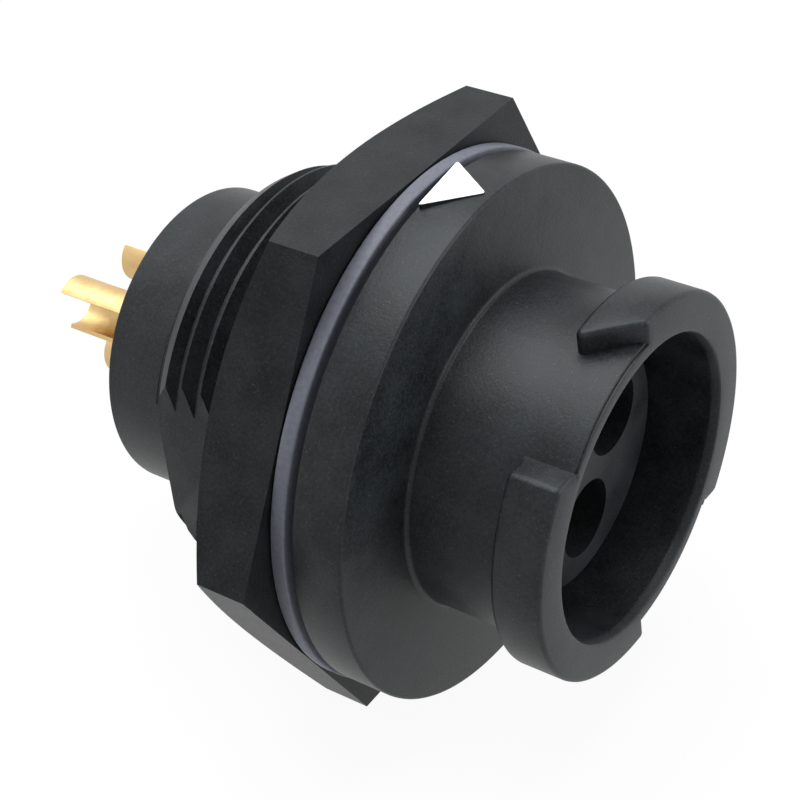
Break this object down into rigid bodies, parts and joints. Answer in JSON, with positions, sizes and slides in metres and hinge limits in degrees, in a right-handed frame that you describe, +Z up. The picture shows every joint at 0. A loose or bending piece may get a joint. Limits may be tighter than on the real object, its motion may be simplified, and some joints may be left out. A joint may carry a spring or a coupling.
{
  "type": "push pull circular connector",
  "caption": "Panel mount receptacle of a circular power connector, with threaded body, hex nut, gasket, cam lugs on its coupling barrel and gold plated solder contacts.",
  "frame": {"origin": "on the connector's axis, in the seat face of the flange, where the panel gasket lies", "axes": "+X along the axis to the mating side, +Z up with one flat of the nut below, at -Z"},
  "size_m": [0.0432, 0.0416, 0.036],
  "materials": {
    "shell_plastic": "satin moulded, charcoal black",
    "nut_plastic": "satin moulded, charcoal black",
    "gasket_rubber": "grey violet rubber, matt",
    "insert_plastic": "moulded, dark blue grey",
    "seal_rubber": "black rubber",
    "gold_plate": "gold plated, fine turned"
  },
  "bodies": {
    "receptacle": {"shell": "shell_plastic", "contact_insert": "insert_plastic", "insert_seal": "seal_rubber", "rear_insert": "insert_plastic", "line_contact_1": "gold_plate", "line_contact_2": "gold_plate", "earth_contact": "gold_plate"},
    "gasket": {"panel_gasket": "gasket_rubber"},
    "nut": {"hex_nut": "nut_plastic"}
  },
  "joints": [
    {"name": "gasket_slide", "type": "slide", "parent": "receptacle", "child": "gasket", "axis": [-1, 0, 0], "range_m": [0, 0.0064]},
    {"name": "nut_turn", "type": "hinge", "parent": "gasket", "child": "nut", "pos_m": [-0.0042, 0, 0], "axis": [-1, 0, 0], "range_deg": [0, 1530]}
  ],
  "couplings": [
    {"joint": "gasket_slide", "follows": "nut_turn", "m_per_rad": 0.00023873}
  ]
}
